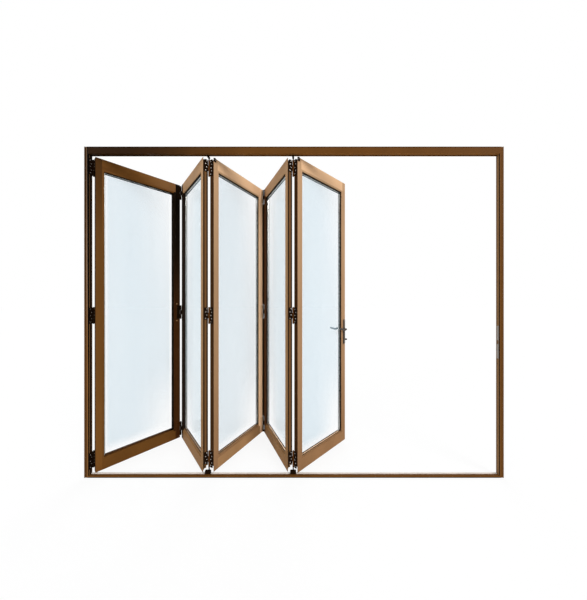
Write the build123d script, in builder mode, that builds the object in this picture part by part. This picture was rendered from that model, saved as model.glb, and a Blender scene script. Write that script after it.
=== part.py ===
from build123d import *
from math import cos, radians, sin
import os

# Five-leaf folding door in its outer frame, part folded towards the weather side.
# Millimetres. X runs along the frame, Y from the room to the weather side, Z up.
# The origin is in the middle of the sill's underside.

# Outer frame
frame_width = 3040.0
frame_height = 2400.0
frame_depth = 36.0
jamb_face = 27.0
head_height = 50.0
sill_height = 14.0
sill_base_thickness = 3.0
sill_front_depth = 18.0
frame_wall = 3.0
seal_groove_width = 6.5
seal_groove_depth = 4.0
seal_groove_setback = 2.0
seal_proud = 2.0
channel_groove_width = 10.0
channel_groove_depth = 3.0
channel_groove_setback = 23.0
front_groove_width = 8.0
front_groove_depth = 3.0
front_groove_setback = 8.0
fixing_radius = 4.0
fixing_count = 4
fixing_low_end = 220.0
fixing_high_end = 380.0

# Track in the head and guide slot in the sill
track_offset = 5.0
track_cavity_width = 20.0
track_slot_width = 12.0
track_lip = 4.0
guide_slot_width = 10.0
guide_floor = 3.0

# Leaves
leaf_thickness = 36.0
leaf_gap = 8.0
leaf_top_clearance = 14.0
leaf_bottom_clearance = 10.0
stile_face = 38.0
rail_face = 76.0
leaf_wall = 3.0
top_notch_height = 18.0
bottom_notch_height = 42.0
edge_seal_width = 9.0
edge_seal_depth = 2.0
edge_seal_setback = 2.0
lip_clearance = 1.0
lip_root = 1.2
lip_depth = 6.0
lip_slant = 2.0
brush_width = 6.0
brush_height = 6.0

# Glazing, from the room face inwards
bead_width = 12.0
bead_depth = 7.0
bead_chamfer = 2.5
room_gasket_depth = 9.0
weather_gasket_depth = 3.0
gasket_show = 2.0
weather_gasket_show = 10.0
gasket_tuck = 6.0
pane_thickness = 4.0
cavity_width = 6.0
glass_clearance = 3.0
spacer_inset = 3.0
spacer_show = 4.0

# Folding: the leaves' angles from the closed plane, and the hinge axes
fold_angle_1_2 = 49.0
fold_angle_3_4 = 63.3
fold_angle_5 = 45.0
hinge_offset = 7.0

# Hinges
hinge_height = 120.0
short_plate_height = 90.0
hinge_bottom_inset = 85.0
hinge_top_inset = 70.0
hinge_middle_drop = 14.0
plate_thickness = 3.2
plate_width = 27.0
plate_corner = 5.0
face_plate_width = 26.0
face_plate_thickness = 4.0
round_sides = 8
knuckle_radius = 6.0
knuckle_gap = 0.5
pin_radius = 3.0
pin_clearance = 0.1
pin_head_radius = 4.5
pin_head_height = 3.0
seat_gap = 0.3

# Roller carriers and bottom guides
lug_width = 20.0
lug_height = 28.0
lug_thickness = 5.0
arm_thickness = 8.0
arm_width = 14.0
arm_corner = 4.0
arm_clearance = 3.0
post_radius = 4.5
trolley_length = 70.0
trolley_width = 10.0
trolley_height = 18.0
wheel_radius = 8.0
wheel_width = 3.5
wheel_spacing = 44.0
axle_radius = 2.5
guide_block_length = 40.0
guide_block_clearance = 0.5
guide_arm_thickness = 5.0
guide_body_length = 44.0
guide_body_width = 16.0
guide_body_height = 24.0
guide_arm_clearance = 2.0

# Handle set on the last leaf
lever_height = 1025.0
backplate_width = 22.0
backplate_height = 217.0
backplate_thickness = 8.0
backplate_drop = 24.0
backplate_corner = 5.0
cylinder_drop = 90.0
cylinder_radius = 8.5
cylinder_web = 10.0
cylinder_depth = 33.0
cylinder_proud = 3.0
cylinder_clearance = 0.3
bore_sides = 12
neck_radius = 9.0
neck_length = 30.0
neck_gap = 0.5
grip_bend = 35.0
grip_dip = 3.0
grip_length = 104.0
grip_rise = 15.0
grip_height = 17.0
grip_thickness = 10.0
spindle_size = 8.0
spindle_socket = 20.0
spindle_clearance = 0.1
spindle_bore_radius = 7.5
turn_knob_radius = 7.5
turn_knob_length = 14.0
turn_cap_length = 1.5
turn_stem_radius = 4.5
turn_stem_length = 6.0
faceplate_width = 18.0
faceplate_height = 240.0
faceplate_thickness = 3.0
latch_width = 12.0
latch_height = 26.0
latch_reach = 3.0
strike_clearance = 1.0

# Sizes worked out from the ones above
half_width = frame_width / 2
half_depth = frame_depth / 2
inner_half = half_width - jamb_face
head_underside = frame_height - head_height
leaf_count = 5
pitch = (2 * inner_half - leaf_gap) / leaf_count
leaf_width = pitch - leaf_gap
leaf_bottom = sill_height + leaf_bottom_clearance
leaf_top = head_underside - leaf_top_clearance
leaf_height = leaf_top - leaf_bottom
rail_length = leaf_width - 2 * stile_face
opening_height = leaf_height - 2 * rail_face
opening_middle = (leaf_bottom + leaf_top) / 2
pivot_y = half_depth + hinge_offset
pivot_depth = leaf_thickness + 2 * hinge_offset
hinge_low = leaf_bottom + hinge_bottom_inset
hinge_high = leaf_top - hinge_top_inset
hinge_middle = (hinge_low + hinge_high) / 2 - hinge_middle_drop
hinge_centres = (hinge_low, hinge_middle, hinge_high)
fixing_pitch = (frame_height - fixing_low_end - fixing_high_end) / (fixing_count - 1)
knuckle_height = (hinge_height - 2 * knuckle_gap) / 3


def half_spread(angle):
    """Sideways reach of one leaf from its outer to its inner hinge axis."""
    return pitch * cos(radians(angle)) + pivot_depth * sin(radians(angle))


first_pivot = -inner_half + leaf_gap / 2
second_pivot = first_pivot + 2 * half_spread(fold_angle_1_2)
third_pivot = second_pivot + 2 * half_spread(fold_angle_3_4)


def pivot_plane(pivot_x, angle):
    """Upright frame on an outer hinge axis, its x axis along the leaf."""
    direction = (cos(radians(angle)), sin(radians(angle)), 0)
    return Plane(origin=(pivot_x, pivot_y, 0), x_dir=direction, z_dir=(0, 0, 1))


def shifted(plane, along, out, up=0.0):
    """The same plane moved by distances in its own axes."""
    origin = plane.from_local_coords((along, out, up))
    return Plane(origin=origin, x_dir=plane.x_dir, z_dir=plane.z_dir)


outer_pivots = {
    1: pivot_plane(first_pivot, fold_angle_1_2),
    2: pivot_plane(second_pivot, -fold_angle_1_2),
    3: pivot_plane(second_pivot, fold_angle_3_4),
    4: pivot_plane(third_pivot, -fold_angle_3_4),
    5: pivot_plane(third_pivot, fold_angle_5),
}


def side_of(number):
    """Odd leaves run to the right of their outer axis, even leaves to the left."""
    return 1 if number % 2 else -1


def leaf_plane(number):
    """Upright frame in the middle of a leaf, on its room face."""
    room_face = -(leaf_thickness + hinge_offset)
    return shifted(outer_pivots[number], side_of(number) * pitch / 2, room_face)


def inner_pivot(number):
    """Upright frame on the room-side hinge axis of a leaf."""
    return shifted(outer_pivots[number], side_of(number) * pitch, -pivot_depth)


def face_plane(number, depth, height=0.0):
    """Plane across a leaf, facing the room, at a depth behind its room face."""
    leaf = leaf_plane(number)
    origin = leaf.from_local_coords((0, depth, height))
    return Plane(origin=origin, x_dir=leaf.x_dir, z_dir=-leaf.y_dir)


def section_plane(start):
    """Plane across the frame's length: its x axis is Y and its y axis is Z."""
    return Plane(origin=(start, 0, 0), x_dir=(0, 1, 0), z_dir=(1, 0, 0))


def save(part, name):
    """Label a finished piece and write it."""
    part.label = name
    export_step(part, f"parts/{name}.step")


os.makedirs("parts", exist_ok=True)


# Jambs
def make_jamb(side):
    """One upright of the outer frame, with its seal groove and hardware channel."""
    face = side * inner_half
    middle = side * (half_width - jamb_face / 2)
    seal_y = -half_depth + seal_groove_setback + seal_groove_width / 2
    channel_y = -half_depth + channel_groove_setback + channel_groove_width / 2
    chamber_width = jamb_face - seal_groove_depth - 2 * frame_wall
    chamber_middle = side * (half_width - frame_wall - chamber_width / 2)
    chamber_front = -half_depth + front_groove_depth + frame_wall
    chamber_back = half_depth - frame_wall
    front_groove_x = side * (half_width - front_groove_setback - front_groove_width / 2)
    with BuildPart() as jamb:
        with BuildSketch(Plane.XY):
            with Locations((middle, 0)):
                Rectangle(jamb_face, frame_depth)
            with Locations((face, seal_y)):
                Rectangle(2 * seal_groove_depth, seal_groove_width, mode=Mode.SUBTRACT)
            with Locations((face, channel_y)):
                Rectangle(2 * channel_groove_depth, channel_groove_width, mode=Mode.SUBTRACT)
            with Locations((front_groove_x, -half_depth)):
                Rectangle(front_groove_width, 2 * front_groove_depth, mode=Mode.SUBTRACT)
            with Locations((chamber_middle, (chamber_front + chamber_back) / 2)):
                Rectangle(chamber_width, chamber_back - chamber_front, mode=Mode.SUBTRACT)
        extrude(amount=frame_height)
        with BuildSketch(section_plane(middle - jamb_face / 2)):
            for step in range(fixing_count):
                with Locations((channel_y, fixing_low_end + step * fixing_pitch)):
                    Circle(fixing_radius)
        extrude(amount=jamb_face, mode=Mode.SUBTRACT)
    return jamb.part


save(make_jamb(-1), "left_jamb")
save(make_jamb(1), "right_jamb")


# Head with the roller track
cavity_height = head_height - frame_wall - track_lip
cavity_middle = head_underside + track_lip + cavity_height / 2
chamber_back = track_offset - track_cavity_width / 2 - frame_wall
chamber_depth = chamber_back + half_depth - frame_wall
with BuildPart() as head_track:
    with BuildSketch(section_plane(-inner_half)):
        with Locations((0, frame_height - head_height / 2)):
            Rectangle(frame_depth, head_height)
        with Locations((track_offset, cavity_middle)):
            Rectangle(track_cavity_width, cavity_height, mode=Mode.SUBTRACT)
        with Locations((track_offset, head_underside)):
            Rectangle(track_slot_width, 4 * track_lip, mode=Mode.SUBTRACT)
        with Locations((chamber_back - chamber_depth / 2, frame_height - head_height / 2)):
            Rectangle(chamber_depth, head_height - 2 * frame_wall, mode=Mode.SUBTRACT)
    extrude(amount=2 * inner_half)
save(head_track.part, "head_track")

# Sill: the painted base and front, and the bright guide profile behind it
guide_front = -half_depth + sill_front_depth
guide_depth = half_depth - guide_front
with BuildPart() as sill:
    with BuildSketch(section_plane(-inner_half)):
        with Locations((0, sill_base_thickness / 2)):
            Rectangle(frame_depth, sill_base_thickness)
        with Locations((-half_depth + sill_front_depth / 2, sill_height / 2)):
            Rectangle(sill_front_depth, sill_height)
    extrude(amount=2 * inner_half)
save(sill.part, "sill")

with BuildPart() as sill_guide:
    with BuildSketch(section_plane(-inner_half)):
        with Locations((guide_front + guide_depth / 2, (sill_base_thickness + sill_height) / 2)):
            Rectangle(guide_depth, sill_height - sill_base_thickness)
        slot_depth = sill_height - sill_base_thickness - guide_floor
        with Locations((track_offset, sill_height - slot_depth / 2)):
            Rectangle(guide_slot_width, slot_depth, mode=Mode.SUBTRACT)
    extrude(amount=2 * inner_half)
save(sill_guide.part, "sill_guide")


# Rubber seals in the jamb grooves
with BuildPart() as jamb_seals:
    for side in (-1, 1):
        seal_y = -half_depth + seal_groove_setback + seal_groove_width / 2
        bottom = side * (inner_half + seal_groove_depth)
        width = seal_groove_depth + seal_proud
        with BuildSketch(Plane.XY.offset(sill_height)):
            with Locations((bottom - side * width / 2, seal_y)):
                Rectangle(width, seal_groove_width)
        extrude(amount=head_underside - sill_height)
save(jamb_seals.part, "jamb_seals")


# Leaves
def make_stiles(number):
    """The two uprights of a leaf: hollow profiles with seal grooves in their edges."""
    leaf = leaf_plane(number)
    centre = -leaf_width / 2 + stile_face / 2
    seal_middle = edge_seal_setback + edge_seal_width / 2
    with BuildPart() as stiles:
        with BuildSketch(leaf.offset(leaf_bottom)):
            with Locations((centre, leaf_thickness / 2)):
                Rectangle(stile_face, leaf_thickness)
            with Locations((centre + edge_seal_depth / 2, leaf_thickness / 2)):
                Rectangle(
                    stile_face - edge_seal_depth - 2 * leaf_wall,
                    leaf_thickness - 2 * leaf_wall,
                    mode=Mode.SUBTRACT,
                )
            for seal_y in (seal_middle, leaf_thickness - seal_middle):
                with Locations((-leaf_width / 2, seal_y)):
                    Rectangle(2 * edge_seal_depth, edge_seal_width, mode=Mode.SUBTRACT)
            mirror(about=Plane.YZ)
        extrude(amount=leaf_height)
    return stiles.part


def track_side_notches(number):
    """Blocks that clear the track hardware behind the room face at a leaf's outer axis."""
    leaf = leaf_plane(number)
    edge = -side_of(number) * (leaf_width - stile_face) / 2
    middle = (leaf_wall + leaf_thickness) / 2
    depth = leaf_thickness - leaf_wall
    with BuildPart() as notches:
        with BuildSketch(leaf.offset(leaf_bottom)):
            with Locations((edge, middle)):
                Rectangle(stile_face, depth)
        extrude(amount=bottom_notch_height)
        with BuildSketch(leaf.offset(leaf_top)):
            with Locations((edge, middle)):
                Rectangle(stile_face, depth)
        extrude(amount=-top_notch_height)
    return notches.part


def make_rails(number):
    """The top and bottom rail of a leaf, hollow, between its stiles."""
    leaf = leaf_plane(number)
    start = leaf.from_local_coords((-rail_length / 2, 0, 0))
    across = Plane(origin=start, x_dir=leaf.y_dir, z_dir=leaf.x_dir)
    with BuildPart() as rails:
        with BuildSketch(across):
            for centre in (leaf_bottom + rail_face / 2, leaf_top - rail_face / 2):
                with Locations((leaf_thickness / 2, centre)):
                    Rectangle(leaf_thickness, rail_face)
                    Rectangle(
                        leaf_thickness - 2 * leaf_wall, rail_face - 2 * leaf_wall, mode=Mode.SUBTRACT
                    )
        extrude(amount=rail_length)
    return rails.part


def glazing_ring(number, depth, thickness, outer_inset, inner_inset):
    """A flat ring behind the glazed opening's edge, between two insets from it."""
    with BuildPart() as ring:
        with BuildSketch(face_plane(number, depth, opening_middle)):
            Rectangle(rail_length - 2 * outer_inset, opening_height - 2 * outer_inset)
            Rectangle(
                rail_length - 2 * inner_inset, opening_height - 2 * inner_inset, mode=Mode.SUBTRACT
            )
        extrude(amount=-thickness)
    return ring.part


# Depths of the glazing layers behind the room face
room_gasket = bead_depth
room_pane = room_gasket + room_gasket_depth
spacer_depth = room_pane + pane_thickness
weather_pane = spacer_depth + cavity_width
weather_gasket = weather_pane + pane_thickness
weather_bead = weather_gasket + weather_gasket_depth


def make_bead(number, depth, thickness, end):
    """One glazing bead, its inner edge bevelled on the face that shows."""
    across = face_plane(number, depth)
    with BuildPart() as bead:
        add(glazing_ring(number, depth, thickness, 0, bead_width))
        shown = bead.faces().sort_by(Axis(across.origin, across.z_dir))[end]
        chamfer(shown.inner_wires()[0].edges(), length=bead_chamfer)
    return bead.part


def make_beads(number):
    """The glazing beads on the room side and the weather side."""
    with BuildPart() as beads:
        add(make_bead(number, 0, bead_depth, -1))
        add(make_bead(number, weather_bead, leaf_thickness - weather_bead, 0))
    return beads.part


def make_panes(number):
    """The two panes of a leaf's sealed unit."""
    with BuildPart() as panes:
        for depth in (room_pane, weather_pane):
            with BuildSketch(face_plane(number, depth, opening_middle)):
                Rectangle(rail_length - 2 * glass_clearance, opening_height - 2 * glass_clearance)
            extrude(amount=-pane_thickness)
    return panes.part


def bore_plane(height):
    """Plane on the room face of the last leaf, on its closing stile's middle line."""
    plane = face_plane(leaf_count, 0, height)
    origin = plane.from_local_coords((leaf_width / 2 - stile_face / 2, 0, 0))
    return Plane(origin=origin, x_dir=plane.x_dir, z_dir=plane.z_dir)


def cylinder_sketch(plane, clearance):
    """Key cylinder's outline: a round barrel over a narrower round-ended web."""
    radius = cylinder_radius + clearance
    web = cylinder_web / 2 + clearance
    low = cylinder_radius - cylinder_depth - clearance
    with BuildSketch(plane) as outline:
        RegularPolygon(radius, bore_sides)
        with Locations((0, (low + web) / 2)):
            Rectangle(2 * web, -(low + web))
        with Locations((0, low + web)):
            RegularPolygon(web, bore_sides)
    return outline.sketch


for number in outer_pivots:
    with BuildPart() as stiles:
        add(make_stiles(number))
        if number > 1:
            add(track_side_notches(number), mode=Mode.SUBTRACT)
        if number == leaf_count:
            with BuildSketch(bore_plane(lever_height)):
                RegularPolygon(spindle_bore_radius, bore_sides)
            extrude(amount=-leaf_thickness, mode=Mode.SUBTRACT)
            key_plane = bore_plane(lever_height - cylinder_drop)
            key_hole = cylinder_sketch(key_plane, cylinder_clearance)
            extrude(key_hole, amount=-leaf_thickness, mode=Mode.SUBTRACT)
    save(stiles.part, f"leaf_{number}_stiles")
    save(make_rails(number), f"leaf_{number}_rails")
    save(make_beads(number), f"leaf_{number}_beads")
    save(make_panes(number), f"leaf_{number}_glass")

with BuildPart() as glazing_gaskets:
    for number in outer_pivots:
        room_edge = bead_width + gasket_show
        weather_edge = bead_width + weather_gasket_show
        add(glazing_ring(number, room_gasket, room_gasket_depth, gasket_tuck, room_edge))
        add(glazing_ring(number, weather_gasket, weather_gasket_depth, gasket_tuck, weather_edge))
save(glazing_gaskets.part, "glazing_gaskets")

with BuildPart() as glass_spacers:
    for number in outer_pivots:
        outer = glass_clearance + spacer_inset
        inner = bead_width + gasket_show + spacer_show
        add(glazing_ring(number, spacer_depth, cavity_width, outer, inner))
save(glass_spacers.part, "glass_spacers")


def lip_outline():
    """Plan of the lip that fills the gap between leaves 3 and 4 where they meet."""
    held = leaf_plane(4)
    facing = leaf_plane(3)
    held_edge = -leaf_width / 2
    facing_edge = leaf_width / 2 + lip_clearance
    points = [
        held.from_local_coords((held_edge, 0, 0)),
        held.from_local_coords((held_edge, lip_root, 0)),
        held.from_local_coords((held_edge - lip_slant, lip_depth, 0)),
        facing.from_local_coords((facing_edge, lip_depth, 0)),
        facing.from_local_coords((facing_edge, 0, 0)),
    ]
    return [(point.X, point.Y) for point in points]


lip_reach = hinge_height / 2 + seat_gap + pin_head_height + lip_clearance
lip_starts = [leaf_bottom] + [centre + lip_reach for centre in hinge_centres]
lip_ends = [centre - lip_reach for centre in hinge_centres] + [leaf_top]

# Rubber strips in the edges of the stiles, and brushes under and over the rails
with BuildPart() as edge_seals:
    for low, high in zip(lip_starts, lip_ends):
        with BuildSketch(Plane.XY.offset(low)):
            Polygon(*lip_outline(), align=None)
        extrude(amount=high - low)
    for number in outer_pivots:
        notched = number > 1
        for side in (-1, 1):
            at_track = notched and side == -side_of(number)
            low = leaf_bottom + (bottom_notch_height if at_track else 0)
            high = leaf_top - (top_notch_height if at_track else 0)
            seal_x = side * (leaf_width - edge_seal_depth) / 2
            seal_middle = edge_seal_setback + edge_seal_width / 2
            with BuildSketch(leaf_plane(number).offset(low)):
                for seal_y in (seal_middle, leaf_thickness - seal_middle):
                    with Locations((seal_x, seal_y)):
                        Rectangle(edge_seal_depth, edge_seal_width)
            extrude(amount=high - low)
save(edge_seals.part, "edge_seals")

with BuildPart() as rail_brushes:
    for number in outer_pivots:
        for low in (leaf_bottom - brush_height, leaf_top):
            with BuildSketch(leaf_plane(number).offset(low)):
                with Locations((0, leaf_thickness / 2)):
                    Rectangle(rail_length, brush_width)
            extrude(amount=brush_height)
save(rail_brushes.part, "rail_brushes")


# Hinges
def axis_plane(pivot, height):
    """Level plane on a hinge axis that is turned the same way for every piece there."""
    origin = pivot.from_local_coords((0, 0, height))
    return Plane(origin=origin, x_dir=(1, 0, 0), z_dir=(0, 0, 1))


def upright_sign(plane):
    """Whether a wall plane's own y axis points up or down."""
    return 1 if plane.y_dir.Z > 0 else -1


def edge_plate(pivot, along, out, low, high):
    """A hinge plate on the edge face of a leaf or jamb, with clipped corners."""
    edge = pivot.from_local_coords((along * leaf_gap / 2, -out * (hinge_offset + plate_width / 2), 0))
    edge_face = Plane(origin=edge, x_dir=pivot.y_dir, z_dir=-along * pivot.x_dir)
    with BuildPart() as plate:
        with BuildSketch(edge_face) as outline:
            with Locations((0, upright_sign(edge_face) * (low + high) / 2)):
                Rectangle(plate_width, high - low)
            chamfer(outline.vertices(), length=plate_corner)
        extrude(amount=plate_thickness)
    return plate.part


def face_plate(pivot, along, out, low, high):
    """A hinge plate on the face of a leaf, beside the knuckles, with clipped corners."""
    start = knuckle_radius + knuckle_gap
    end = leaf_gap / 2 + face_plate_width
    middle = pivot.from_local_coords((along * (start + end) / 2, -out * hinge_offset, 0))
    leaf_face = Plane(origin=middle, x_dir=pivot.x_dir, z_dir=out * pivot.y_dir)
    with BuildPart() as plate:
        with BuildSketch(leaf_face) as outline:
            with Locations((0, upright_sign(leaf_face) * (low + high) / 2)):
                Rectangle(end - start, high - low)
            chamfer(outline.vertices(), length=plate_corner)
        extrude(amount=face_plate_thickness)
    return plate.part


def hinge_half(pivot, along, out, centre, rows, low, on_face=False):
    """One half of a hinge: its plate from a height upwards, and its knuckles."""
    bottom = centre - hinge_height / 2
    top = centre + hinge_height / 2
    if on_face:
        plate = face_plate(pivot, along, out, low, top)
        web_size = (knuckle_radius + knuckle_gap, face_plate_thickness)
        web_x = along * (knuckle_radius + knuckle_gap) / 2
        web_y = -out * (hinge_offset - face_plate_thickness / 2)
    else:
        plate = edge_plate(pivot, along, out, low, top)
        web_size = (plate_thickness, hinge_offset)
        web_x = along * (leaf_gap - plate_thickness) / 2
        web_y = -out * hinge_offset / 2
    with BuildPart() as half:
        add(plate)
        for row in rows:
            row_low = bottom + row * (knuckle_height + knuckle_gap)
            with BuildSketch(pivot.offset(row_low)):
                with Locations((web_x, web_y)):
                    Rectangle(*web_size)
            with BuildSketch(axis_plane(pivot, row_low)):
                RegularPolygon(knuckle_radius, round_sides)
            extrude(amount=knuckle_height)
            with BuildSketch(axis_plane(pivot, row_low)):
                RegularPolygon(pin_radius + pin_clearance, round_sides)
            extrude(amount=knuckle_height, mode=Mode.SUBTRACT)
    return half.part


def hinge_pin(pivot, centre):
    """The headed pin through a hinge's three knuckles."""
    low = centre - hinge_height / 2 - seat_gap
    high = centre + hinge_height / 2 + seat_gap
    with BuildPart() as pin:
        with BuildSketch(axis_plane(pivot, low - pin_head_height)):
            RegularPolygon(pin_head_radius, round_sides)
        extrude(amount=pin_head_height)
        with BuildSketch(axis_plane(pivot, low)):
            RegularPolygon(pin_radius, round_sides)
        extrude(amount=high - low)
        with BuildSketch(axis_plane(pivot, high)):
            RegularPolygon(pin_head_radius, round_sides)
        extrude(amount=pin_head_height)
    return pin.part


def make_hinges(first, first_along, second, second_along, out, on_face=False):
    """Three hinges on one axis: the first half has two knuckles, the second has one."""
    with BuildPart() as hinges:
        for centre in hinge_centres:
            full_low = centre - hinge_height / 2
            short_low = centre + hinge_height / 2 - short_plate_height
            add(hinge_half(first, first_along, out, centre, (0, 2), full_low, on_face))
            add(hinge_half(second, second_along, out, centre, (1,), short_low))
            add(hinge_pin(first, centre))
    return hinges.part


jamb_pivot = pivot_plane(first_pivot, 0)
save(make_hinges(jamb_pivot, -1, outer_pivots[1], 1, 1), "jamb_hinges")
save(make_hinges(inner_pivot(1), -1, inner_pivot(2), 1, -1, on_face=True), "hinges_1_2")
save(make_hinges(outer_pivots[3], 1, outer_pivots[2], -1, 1), "hinges_2_3")
save(make_hinges(inner_pivot(3), -1, inner_pivot(4), 1, -1, on_face=True), "hinges_3_4")
save(make_hinges(outer_pivots[5], 1, outer_pivots[4], -1, 1), "hinges_4_5")


# Lugs on the top corners of the leaves that hang to the right of a carrier
with BuildPart() as corner_lugs:
    for number in (3, 5):
        with BuildSketch(face_plane(number, 0, leaf_top - lug_height / 2)) as outline:
            with Locations(((lug_width - leaf_width) / 2, 0)):
                Rectangle(lug_width, lug_height)
            chamfer(outline.vertices(), length=lug_width / 5)
        extrude(amount=lug_thickness)
save(corner_lugs.part, "corner_lugs")


# Roller carriers under the head and guides in the sill
def make_arm(pivot_x, low, thickness):
    """A flat arm from the track's line to a hinge axis, its corners clipped."""
    with BuildPart() as arm:
        with BuildSketch(Plane.XY.offset(low)) as outline:
            with Locations((pivot_x, (track_offset + pivot_y) / 2)):
                Rectangle(arm_width, pivot_y - track_offset + arm_width)
            chamfer(outline.vertices(), length=arm_corner)
        extrude(amount=thickness)
    return arm.part


def make_post(pivot_x, y, low, high):
    """An upright round post."""
    with BuildPart() as post:
        with BuildSketch(Plane.XY.offset(low)):
            with Locations((pivot_x, y)):
                RegularPolygon(post_radius, round_sides)
        extrude(amount=high - low)
    return post.part


def make_wheel(wheel_x, side):
    """One track wheel and its half of the axle, beside the trolley's body."""
    inner = track_offset + side * track_slot_width / 2
    wheel_plane = Plane(origin=(wheel_x, inner, wheel_centre), z_dir=(0, side, 0))
    with BuildPart() as wheel:
        with BuildSketch(wheel_plane):
            RegularPolygon(wheel_radius, 2 * round_sides)
        extrude(amount=wheel_width)
        with BuildSketch(wheel_plane):
            RegularPolygon(axle_radius, round_sides)
        extrude(amount=-track_slot_width / 2)
    return wheel.part


pin_top = hinge_high + hinge_height / 2 + seat_gap + pin_head_height
pin_bottom = hinge_low - hinge_height / 2 - seat_gap - pin_head_height
arm_low = head_underside - arm_clearance - arm_thickness
wheel_centre = head_underside + track_lip + seat_gap + wheel_radius
with BuildPart() as roller_carriers:
    for pivot_x in (second_pivot, third_pivot):
        add(make_arm(pivot_x, arm_low, arm_thickness))
        add(make_post(pivot_x, pivot_y, pin_top + seat_gap, arm_low))
        add(make_post(pivot_x, track_offset, arm_low, wheel_centre))
        with BuildSketch(Plane.XY.offset(wheel_centre - trolley_height / 2 + wheel_radius / 2)):
            with Locations((pivot_x, track_offset)):
                Rectangle(trolley_length, trolley_width)
        extrude(amount=trolley_height)
        for side in (-1, 1):
            add(make_wheel(pivot_x - wheel_spacing / 2, side))
            add(make_wheel(pivot_x + wheel_spacing / 2, side))
save(roller_carriers.part, "roller_carriers")

guide_arm_low = sill_height + guide_arm_clearance
guide_low = sill_base_thickness + guide_floor + seat_gap
with BuildPart() as bottom_guides:
    for pivot_x in (second_pivot, third_pivot):
        add(make_arm(pivot_x, guide_arm_low, guide_arm_thickness))
        add(make_post(pivot_x, pivot_y, guide_arm_low, pin_bottom - seat_gap))
        with BuildSketch(Plane.XY.offset(guide_arm_low)) as body_outline:
            with Locations((pivot_x, track_offset)):
                Rectangle(guide_body_length, guide_body_width)
            chamfer(body_outline.vertices(), length=arm_corner)
        extrude(amount=guide_body_height)
        block_width = guide_slot_width - 2 * guide_block_clearance
        with BuildSketch(Plane.XY.offset(guide_low)) as outline:
            with Locations((pivot_x, track_offset)):
                Rectangle(guide_block_length, block_width)
            chamfer(outline.vertices(), length=block_width / 4)
        extrude(amount=guide_arm_low - guide_low)
save(bottom_guides.part, "bottom_guides")


# Handle set
def make_backplate(depth, outward):
    """One backplate against a face of the closing stile, bored for lever and key."""
    with BuildPart() as backplate:
        with BuildSketch(bore_plane(lever_height).offset(-depth)):
            with Locations((0, -backplate_drop)):
                RectangleRounded(backplate_width, backplate_height, backplate_corner)
            RegularPolygon(spindle_bore_radius, bore_sides, mode=Mode.SUBTRACT)
        extrude(amount=outward * backplate_thickness)
        key_plane = bore_plane(lever_height - cylinder_drop).offset(-depth)
        key_hole = cylinder_sketch(key_plane, cylinder_clearance)
        extrude(key_hole, amount=outward * backplate_thickness, mode=Mode.SUBTRACT)
    return backplate.part


with BuildPart() as backplates:
    add(make_backplate(0, 1))
    add(make_backplate(leaf_thickness, -1))
save(backplates.part, "backplates")

cylinder_reach = backplate_thickness + cylinder_proud
with BuildPart() as lock_cylinder:
    key_plane = bore_plane(lever_height - cylinder_drop).offset(cylinder_reach)
    extrude(cylinder_sketch(key_plane, 0), amount=-(leaf_thickness + 2 * cylinder_reach))
save(lock_cylinder.part, "lock_cylinder")


def make_lever(depth, outward):
    """One lever: a round neck off the backplate, and a rounded grip towards the hinges."""
    start = backplate_thickness + neck_gap
    grip_start = start + neck_length - grip_thickness
    plate = bore_plane(lever_height).offset(-depth)
    with BuildPart() as lever:
        with BuildSketch(plate.offset(outward * start)):
            Circle(neck_radius)
        extrude(amount=outward * neck_length)
        with BuildSketch(plate.offset(outward * grip_start)):
            with BuildLine():
                Polyline((0, 0), (-grip_bend, -grip_dip), (-grip_length, grip_rise))
            trace(line_width=grip_height)
            RegularPolygon(neck_radius, bore_sides)
        extrude(amount=outward * grip_thickness)
        with BuildSketch(plate.offset(outward * start)):
            Rectangle(spindle_size + 2 * spindle_clearance, spindle_size + 2 * spindle_clearance)
        extrude(amount=outward * spindle_socket, mode=Mode.SUBTRACT)
    return lever.part


save(make_lever(0, 1), "room_lever")
save(make_lever(leaf_thickness, -1), "outer_lever")

spindle_reach = backplate_thickness + neck_gap + spindle_socket - seat_gap
with BuildPart() as lever_spindle:
    with BuildSketch(bore_plane(lever_height).offset(spindle_reach)):
        Rectangle(spindle_size, spindle_size)
    extrude(amount=-(leaf_thickness + 2 * spindle_reach))
save(lever_spindle.part, "lever_spindle")


# Round turn knob on the room side of the lock cylinder
turn_start = cylinder_reach + neck_gap
knob_start = turn_start + turn_stem_length
cap_start = knob_start + turn_knob_length
knob_plane = bore_plane(lever_height - cylinder_drop)
with BuildPart() as turn_knob:
    with BuildSketch(knob_plane.offset(turn_start)):
        RegularPolygon(turn_stem_radius, bore_sides)
    extrude(amount=turn_stem_length)
    with BuildSketch(knob_plane.offset(knob_start)):
        RegularPolygon(turn_knob_radius, bore_sides)
    extrude(amount=turn_knob_length)
    with BuildSketch(knob_plane.offset(cap_start)):
        RegularPolygon(turn_knob_radius - turn_cap_length, bore_sides)
    extrude(amount=turn_cap_length)
save(turn_knob.part, "turn_knob")

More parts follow.
